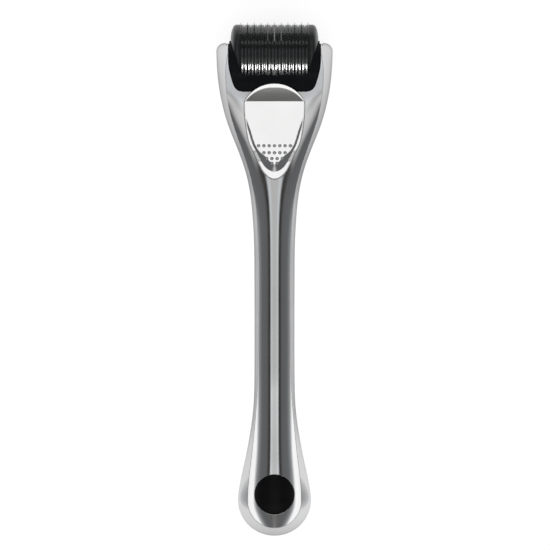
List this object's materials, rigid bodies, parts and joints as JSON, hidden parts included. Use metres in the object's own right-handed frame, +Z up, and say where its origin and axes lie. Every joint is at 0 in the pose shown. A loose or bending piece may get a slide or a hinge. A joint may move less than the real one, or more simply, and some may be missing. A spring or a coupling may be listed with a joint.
{
  "type": "derma roller",
  "caption": "Hand-held derma roller: a slim plated handle with a teardrop end and a fork that holds a free-spinning drum of needle discs.",
  "frame": {"origin": "centre of the object's box on the surface it lies on, back down", "axes": "+Y along the handle from the bulb towards the drum, +Z up out of the front with the thumb shield and badge, +X across along the drum's axle"},
  "size_m": [0.032, 0.1418, 0.0184],
  "materials": {
    "plated_shell": "bright electroplated plastic, slightly smoky",
    "plated_shield": "bright electroplated plastic",
    "badge": "gloss black, blank",
    "cradle": "semi-gloss black",
    "axle_steel": "ground steel pin",
    "drum_core": "moulded black",
    "end_cap": "satin black",
    "spacer": "gloss black",
    "needle_steel": "stainless steel"
  },
  "bodies": {
    "handle": {"rear_shell": "plated_shell", "front_shell": "plated_shell", "thumb_shield": "plated_shield", "badge": "badge", "head_cradle": "cradle", "axle": "axle_steel"},
    "drum": {"drum_core": "drum_core", "end_cap_left": "end_cap", "end_cap_right": "end_cap", "needle_disc_01": "needle_steel", "needle_disc_02": "needle_steel", "needle_disc_03": "needle_steel", "needle_disc_04": "needle_steel", "needle_disc_05": "needle_steel", "needle_disc_06": "needle_steel", "needle_disc_07": "needle_steel", "needle_disc_08": "needle_steel", "needle_disc_09": "needle_steel", "needle_disc_10": "needle_steel", "needle_disc_11": "needle_steel", "spacer_01": "spacer", "spacer_02": "spacer", "spacer_03": "spacer", "spacer_04": "spacer", "spacer_05": "spacer", "spacer_06": "spacer", "spacer_07": "spacer", "spacer_08": "spacer", "spacer_09": "spacer", "spacer_10": "spacer"}
  },
  "joints": [
    {"name": "drum_spin", "type": "hinge", "parent": "handle", "child": "drum", "pos_m": [0, 0.0622, 0.0097], "axis": [1, 0, 0], "continuous": true}
  ]
}
